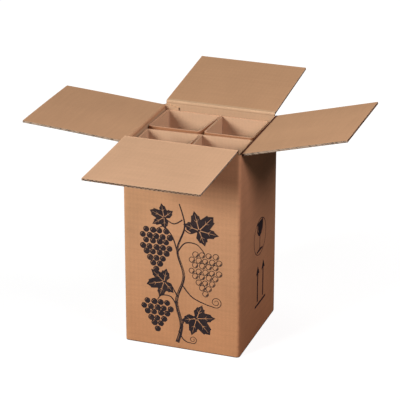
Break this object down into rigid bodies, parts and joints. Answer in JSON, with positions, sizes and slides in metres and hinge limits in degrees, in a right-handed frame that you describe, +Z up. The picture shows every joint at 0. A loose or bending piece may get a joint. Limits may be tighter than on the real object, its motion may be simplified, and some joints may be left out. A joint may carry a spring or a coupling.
{
  "type": "bottle shipping box",
  "caption": "Tall corrugated shipping carton for bottles, standing open: hinged top flaps, a glued bottom and folded cell inserts inside.",
  "frame": {"origin": "centre of the carton's outer walls, on the plane that it stands on", "axes": "+Z up; X along the front wall, with the glue tab at -X; +Y from the front wall to the back wall"},
  "size_m": [0.6009, 0.5982, 0.4427],
  "materials": {
    "carton_board": "brown kraft corrugated board, matt",
    "insert_board": "brown kraft corrugated board, matt, a little lighter"
  },
  "bodies": {
    "box": {"carton": "carton_board", "back_insert": "insert_board", "front_insert": "insert_board"},
    "left_top": {"left_flap": "carton_board"},
    "right_top": {"right_flap": "carton_board"},
    "back_top": {"back_flap": "carton_board"},
    "front_top": {"front_flap": "carton_board"}
  },
  "joints": [
    {"name": "left_flap_fold", "type": "hinge", "parent": "box", "child": "left_top", "pos_m": [-0.1092, 0, 0.3862], "axis": [0, 1, 0], "range_deg": [-74, 176]},
    {"name": "right_flap_fold", "type": "hinge", "parent": "box", "child": "right_top", "pos_m": [0.1092, 0, 0.39005], "axis": [0, -1, 0], "range_deg": [-84.8, 165.2]},
    {"name": "back_flap_fold", "type": "hinge", "parent": "box", "child": "back_top", "pos_m": [0, 0.1052, 0.3939], "axis": [1, 0, 0], "range_deg": [-77, 173]},
    {"name": "front_flap_fold", "type": "hinge", "parent": "box", "child": "front_top", "pos_m": [0, -0.1052, 0.39775], "axis": [-1, 0, 0], "range_deg": [-68.4, 181.6]}
  ]
}
